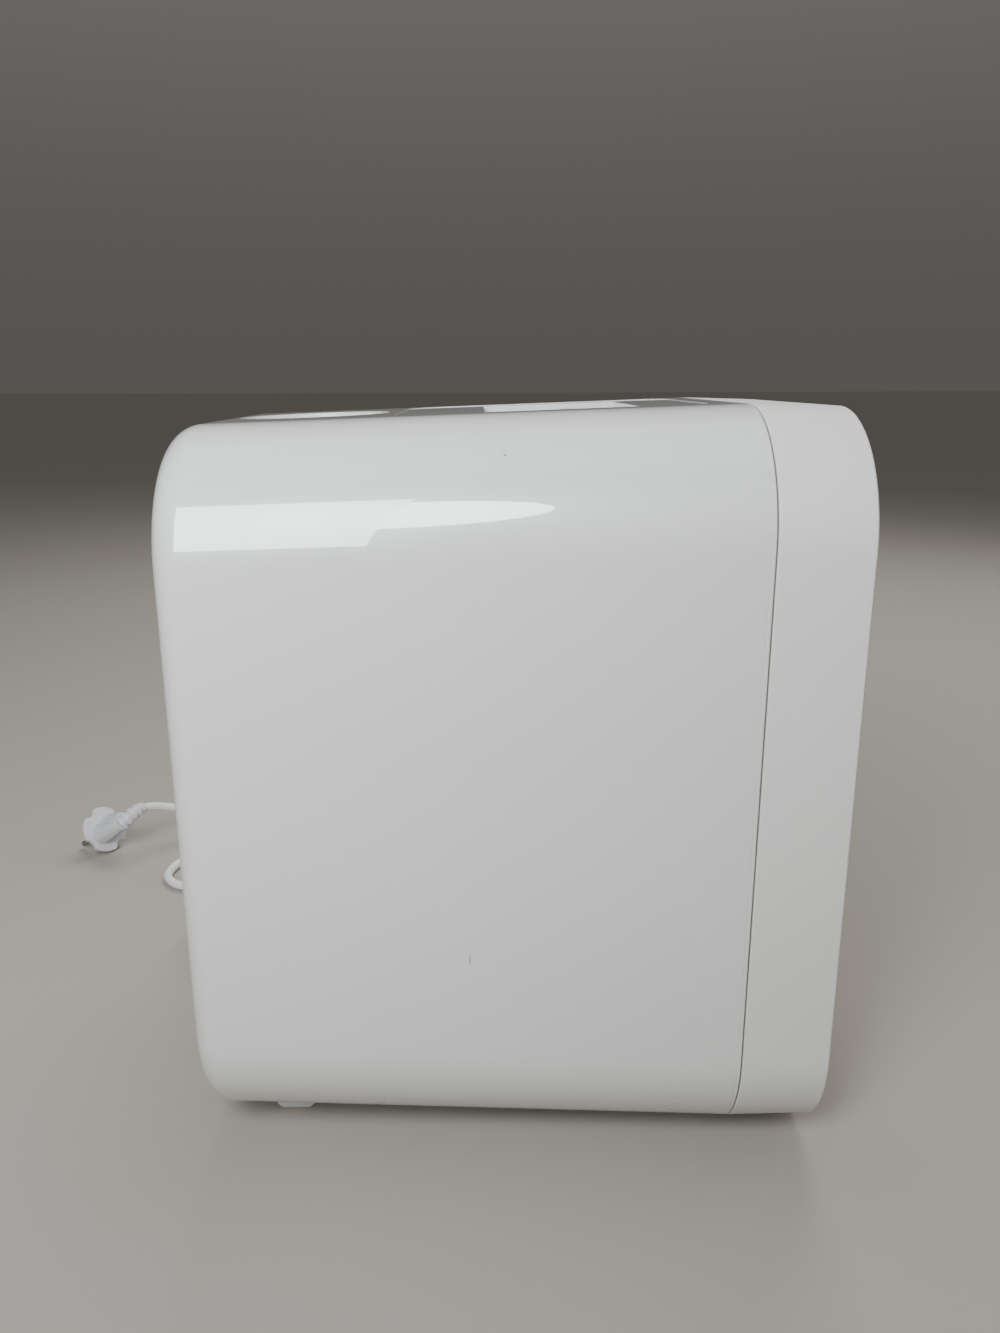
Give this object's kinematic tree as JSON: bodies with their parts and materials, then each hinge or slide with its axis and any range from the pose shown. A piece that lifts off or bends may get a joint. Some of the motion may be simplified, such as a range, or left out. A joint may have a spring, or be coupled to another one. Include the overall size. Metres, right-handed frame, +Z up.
{
  "type": "cool mist humidifier",
  "caption": "Box-shaped ultrasonic cool mist humidifier: glossy tapered casing, matte front section, lift-out top tank, mist nozzle, rear filter and mains cord.",
  "frame": {"origin": "on the floor, midway between the front face and the back face and midway across the width, without the cord", "axes": "+X across the width, to the right seen from the front; -Y towards the front panel; +Z up"},
  "size_m": [0.4454, 0.489, 0.36],
  "materials": {
    "gloss_casing": "high gloss, faint orange peel",
    "matte_front": "fine moulded texture",
    "power_cap": "fine moulded texture",
    "seam_rubber": "soft satin",
    "inner_plastic": "plain moulded",
    "dark_lens": "smoked gloss",
    "green_board": "solder mask",
    "brown_board": "phenolic board",
    "clear_window": "clear",
    "tank_plastic": "frosted clear plastic",
    "transformer_core": "varnished",
    "aluminium": "satin",
    "brass": "satin",
    "steel": "bright",
    "black_rubber": "satin",
    "dark_plastic": "plain moulded",
    "foot_pad": "translucent satin",
    "lead_insulation": "satin",
    "cord_white": "soft satin",
    "plug_white": "moulded satin",
    "pin_nickel": "plated",
    "silicone": "translucent",
    "blue_cap": "ribbed satin",
    "valve_white": "plain moulded",
    "filter_grey": "open foam"
  },
  "bodies": {
    "housing": {"main_casing": "gloss_casing", "front_cover": "matte_front", "seam_gasket": "seam_rubber", "front_bulkhead": "inner_plastic", "chassis": "inner_plastic", "water_basin": "inner_plastic", "basin_cover": "inner_plastic", "tank_well": "inner_plastic", "mist_duct": "inner_plastic", "nozzle_dish": "gloss_casing", "display_lens": "dark_lens", "control_board": "green_board", "level_window": "clear_window", "power_board": "brown_board", "transformer": "transformer_core", "driver_board": "green_board", "heat_sink": "aluminium", "transducer_holder": "brass", "transducer_disc": "steel", "transducer_seal": "black_rubber", "blower_housing": "dark_plastic", "blower_cover": "dark_plastic", "blower_motor": "aluminium", "front_feet": "foot_pad", "rear_feet": "foot_pad", "casing_screws": "steel", "bulkhead_screws": "steel", "cover_screws": "steel", "inner_leads": "lead_insulation", "strain_relief": "cord_white", "cord_lead": "cord_white", "cord_coil": "cord_white", "cord_tail": "cord_white", "coil_tie": "dark_plastic", "plug_boot": "plug_white", "plug_body": "plug_white", "plug_pins": "pin_nickel"},
    "water_tank": {"water_tank": "tank_plastic", "tank_lid": "gloss_casing", "lid_seal": "silicone"},
    "tank_handle": {"tank_handle": "matte_front"},
    "tank_cap": {"tank_cap": "blue_cap", "cap_gasket": "silicone", "valve_spring": "steel"},
    "valve_plunger": {"valve_plunger": "valve_white", "valve_seal": "black_rubber"},
    "float": {"float_ring": "valve_white", "float_magnet": "dark_plastic"},
    "mist_nozzle": {"mist_nozzle": "matte_front"},
    "mist_knob": {"mist_knob": "matte_front"},
    "power_button": {"power_button": "power_cap"},
    "timer_button": {"timer_button": "matte_front"},
    "mode_button": {"mode_button": "matte_front"},
    "blower_impeller": {"blower_impeller": "valve_white"},
    "filter_cover": {"filter_cover": "gloss_casing", "filter_foam": "filter_grey"}
  },
  "joints": [
    {"name": "tank_lift", "type": "slide", "parent": "housing", "child": "water_tank", "axis": [0, 0, 1], "range_m": [0, 0.29]},
    {"name": "handle_fold", "type": "hinge", "parent": "water_tank", "child": "tank_handle", "pos_m": [0, 0.002, 0.3504], "axis": [-1, 0, 0], "range_deg": [0, 90]},
    {"name": "cap_turn", "type": "hinge", "parent": "water_tank", "child": "tank_cap", "pos_m": [0, -0.022, 0.085], "axis": [0, 0, 1], "range_deg": [0, 180]},
    {"name": "valve_press", "type": "slide", "parent": "tank_cap", "child": "valve_plunger", "axis": [0, 0, 1], "range_m": [0, 0.004], "stiffness_N_per_m": 150, "springref_m": -0.002, "deforming": ["valve_spring"]},
    {"name": "float_rise", "type": "slide", "parent": "housing", "child": "float", "axis": [0, 0, 1], "range_m": [0, 0.012]},
    {"name": "nozzle_turn", "type": "hinge", "parent": "housing", "child": "mist_nozzle", "pos_m": [0, 0.096, 0.35306], "axis": [0, 0.034, 0.9994], "continuous": true},
    {"name": "knob_turn", "type": "hinge", "parent": "housing", "child": "mist_knob", "pos_m": [-0.026, -0.14, 0.15], "axis": [0, 1, 0], "range_deg": [0, 270]},
    {"name": "power_press", "type": "slide", "parent": "housing", "child": "power_button", "axis": [0, 1, 0], "range_m": [0, 0.0015], "stiffness_N_per_m": 400, "springref_m": -0.001},
    {"name": "timer_press", "type": "slide", "parent": "housing", "child": "timer_button", "axis": [0, 1, 0], "range_m": [0, 0.0015], "stiffness_N_per_m": 400, "springref_m": -0.001},
    {"name": "mode_press", "type": "slide", "parent": "housing", "child": "mode_button", "axis": [0, 1, 0], "range_m": [0, 0.0015], "stiffness_N_per_m": 400, "springref_m": -0.001},
    {"name": "impeller_spin", "type": "hinge", "parent": "housing", "child": "blower_impeller", "pos_m": [-0.078, 0.11, 0.165], "axis": [0, 1, 0], "continuous": true},
    {"name": "filter_pull", "type": "slide", "parent": "housing", "child": "filter_cover", "axis": [0, 1, 0], "range_m": [0, 0.04]}
  ]
}
